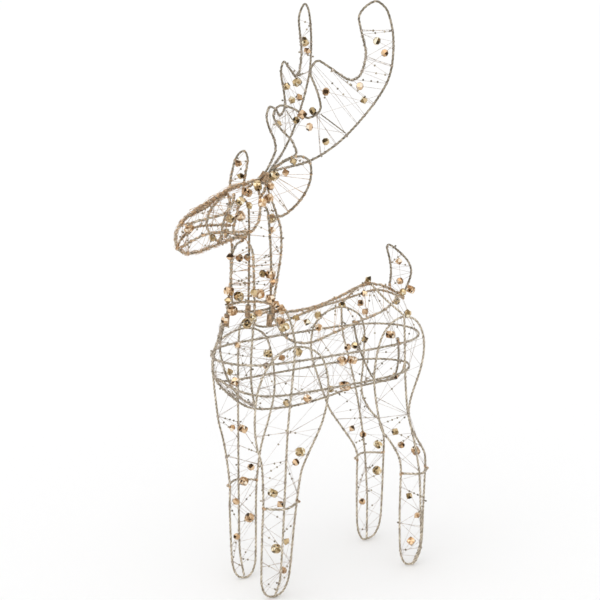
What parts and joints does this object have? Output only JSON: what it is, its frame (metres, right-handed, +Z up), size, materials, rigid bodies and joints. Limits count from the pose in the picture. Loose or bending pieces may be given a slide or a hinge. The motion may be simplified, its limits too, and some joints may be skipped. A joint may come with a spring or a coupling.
{
  "type": "wire yard reindeer",
  "caption": "Standing wire-frame reindeer for a yard or porch, laced with beaded gold light strings; head and neck lift off the body, and the antlers pull out of the crown.",
  "frame": {"origin": "on the ground, under the middle of the bounding box", "axes": "+Z is up, -X is the way the deer faces, -Y is its left side"},
  "size_m": [0.354, 0.1891, 0.7575],
  "materials": {
    "wrapped_wire": "steel wire wrapped in champagne glitter thread",
    "beaded_string": "fine gold wire carrying metallic gold beads and seed beads",
    "painted_sleeve": "brown painted steel sleeve"
  },
  "bodies": {
    "torso": {"back_neck_sleeve": "painted_sleeve", "front_belly_hoop": "wrapped_wire", "front_left_leg_knee_brace": "wrapped_wire", "front_left_leg_lights": "beaded_string", "front_left_leg_loop": "wrapped_wire", "front_left_leg_outer_wire": "wrapped_wire", "front_neck_sleeve": "painted_sleeve", "front_right_leg_knee_brace": "wrapped_wire", "front_right_leg_lights": "beaded_string", "front_right_leg_loop": "wrapped_wire", "front_right_leg_outer_wire": "wrapped_wire", "hind_left_leg_knee_brace": "wrapped_wire", "hind_left_leg_lights": "beaded_string", "hind_left_leg_loop": "wrapped_wire", "hind_left_leg_outer_wire": "wrapped_wire", "hind_right_leg_knee_brace": "wrapped_wire", "hind_right_leg_lights": "beaded_string", "hind_right_leg_loop": "wrapped_wire", "hind_right_leg_outer_wire": "wrapped_wire", "keel_rail": "wrapped_wire", "left_back_lights": "beaded_string", "left_flank_lights": "beaded_string", "left_neck_sleeve": "painted_sleeve", "left_saddle_rail": "wrapped_wire", "lower_ring": "wrapped_wire", "rear_belly_hoop": "wrapped_wire", "right_back_lights": "beaded_string", "right_flank_lights": "beaded_string", "right_neck_sleeve": "painted_sleeve", "right_saddle_rail": "wrapped_wire", "spine_rail": "wrapped_wire", "tail_lights": "beaded_string", "tail_loop": "wrapped_wire", "upper_ring": "wrapped_wire"},
    "head_and_neck": {"neck_ring": "wrapped_wire", "front_neck_wire": "wrapped_wire", "back_neck_wire": "wrapped_wire", "left_rear_neck_wire": "wrapped_wire", "right_rear_neck_wire": "wrapped_wire", "left_front_neck_wire": "wrapped_wire", "right_front_neck_wire": "wrapped_wire", "face_profile": "wrapped_wire", "muzzle_hoop": "wrapped_wire", "throat_hoop": "wrapped_wire", "left_cheek_rail": "wrapped_wire", "right_cheek_rail": "wrapped_wire", "left_jaw_rail": "wrapped_wire", "right_jaw_rail": "wrapped_wire", "left_ear": "wrapped_wire", "right_ear": "wrapped_wire", "left_antler_socket": "painted_sleeve", "right_antler_socket": "painted_sleeve", "neck_lights": "beaded_string", "head_lights": "beaded_string"},
    "left_antler": {"left_antler": "wrapped_wire", "left_antler_tie": "wrapped_wire", "left_antler_lights": "beaded_string"},
    "right_antler": {"right_antler": "wrapped_wire", "right_antler_tie": "wrapped_wire", "right_antler_lights": "beaded_string"}
  },
  "joints": [
    {"name": "neck_lift", "type": "slide", "parent": "torso", "child": "head_and_neck", "axis": [0.0995, 0, 0.995], "range_m": [0, 0.03]},
    {"name": "left_antler_pull", "type": "slide", "parent": "head_and_neck", "child": "left_antler", "axis": [0.6198, 0, 0.7848], "range_m": [0, 0.03]},
    {"name": "right_antler_pull", "type": "slide", "parent": "head_and_neck", "child": "right_antler", "axis": [0.6198, 0, 0.7848], "range_m": [0, 0.03]}
  ]
}
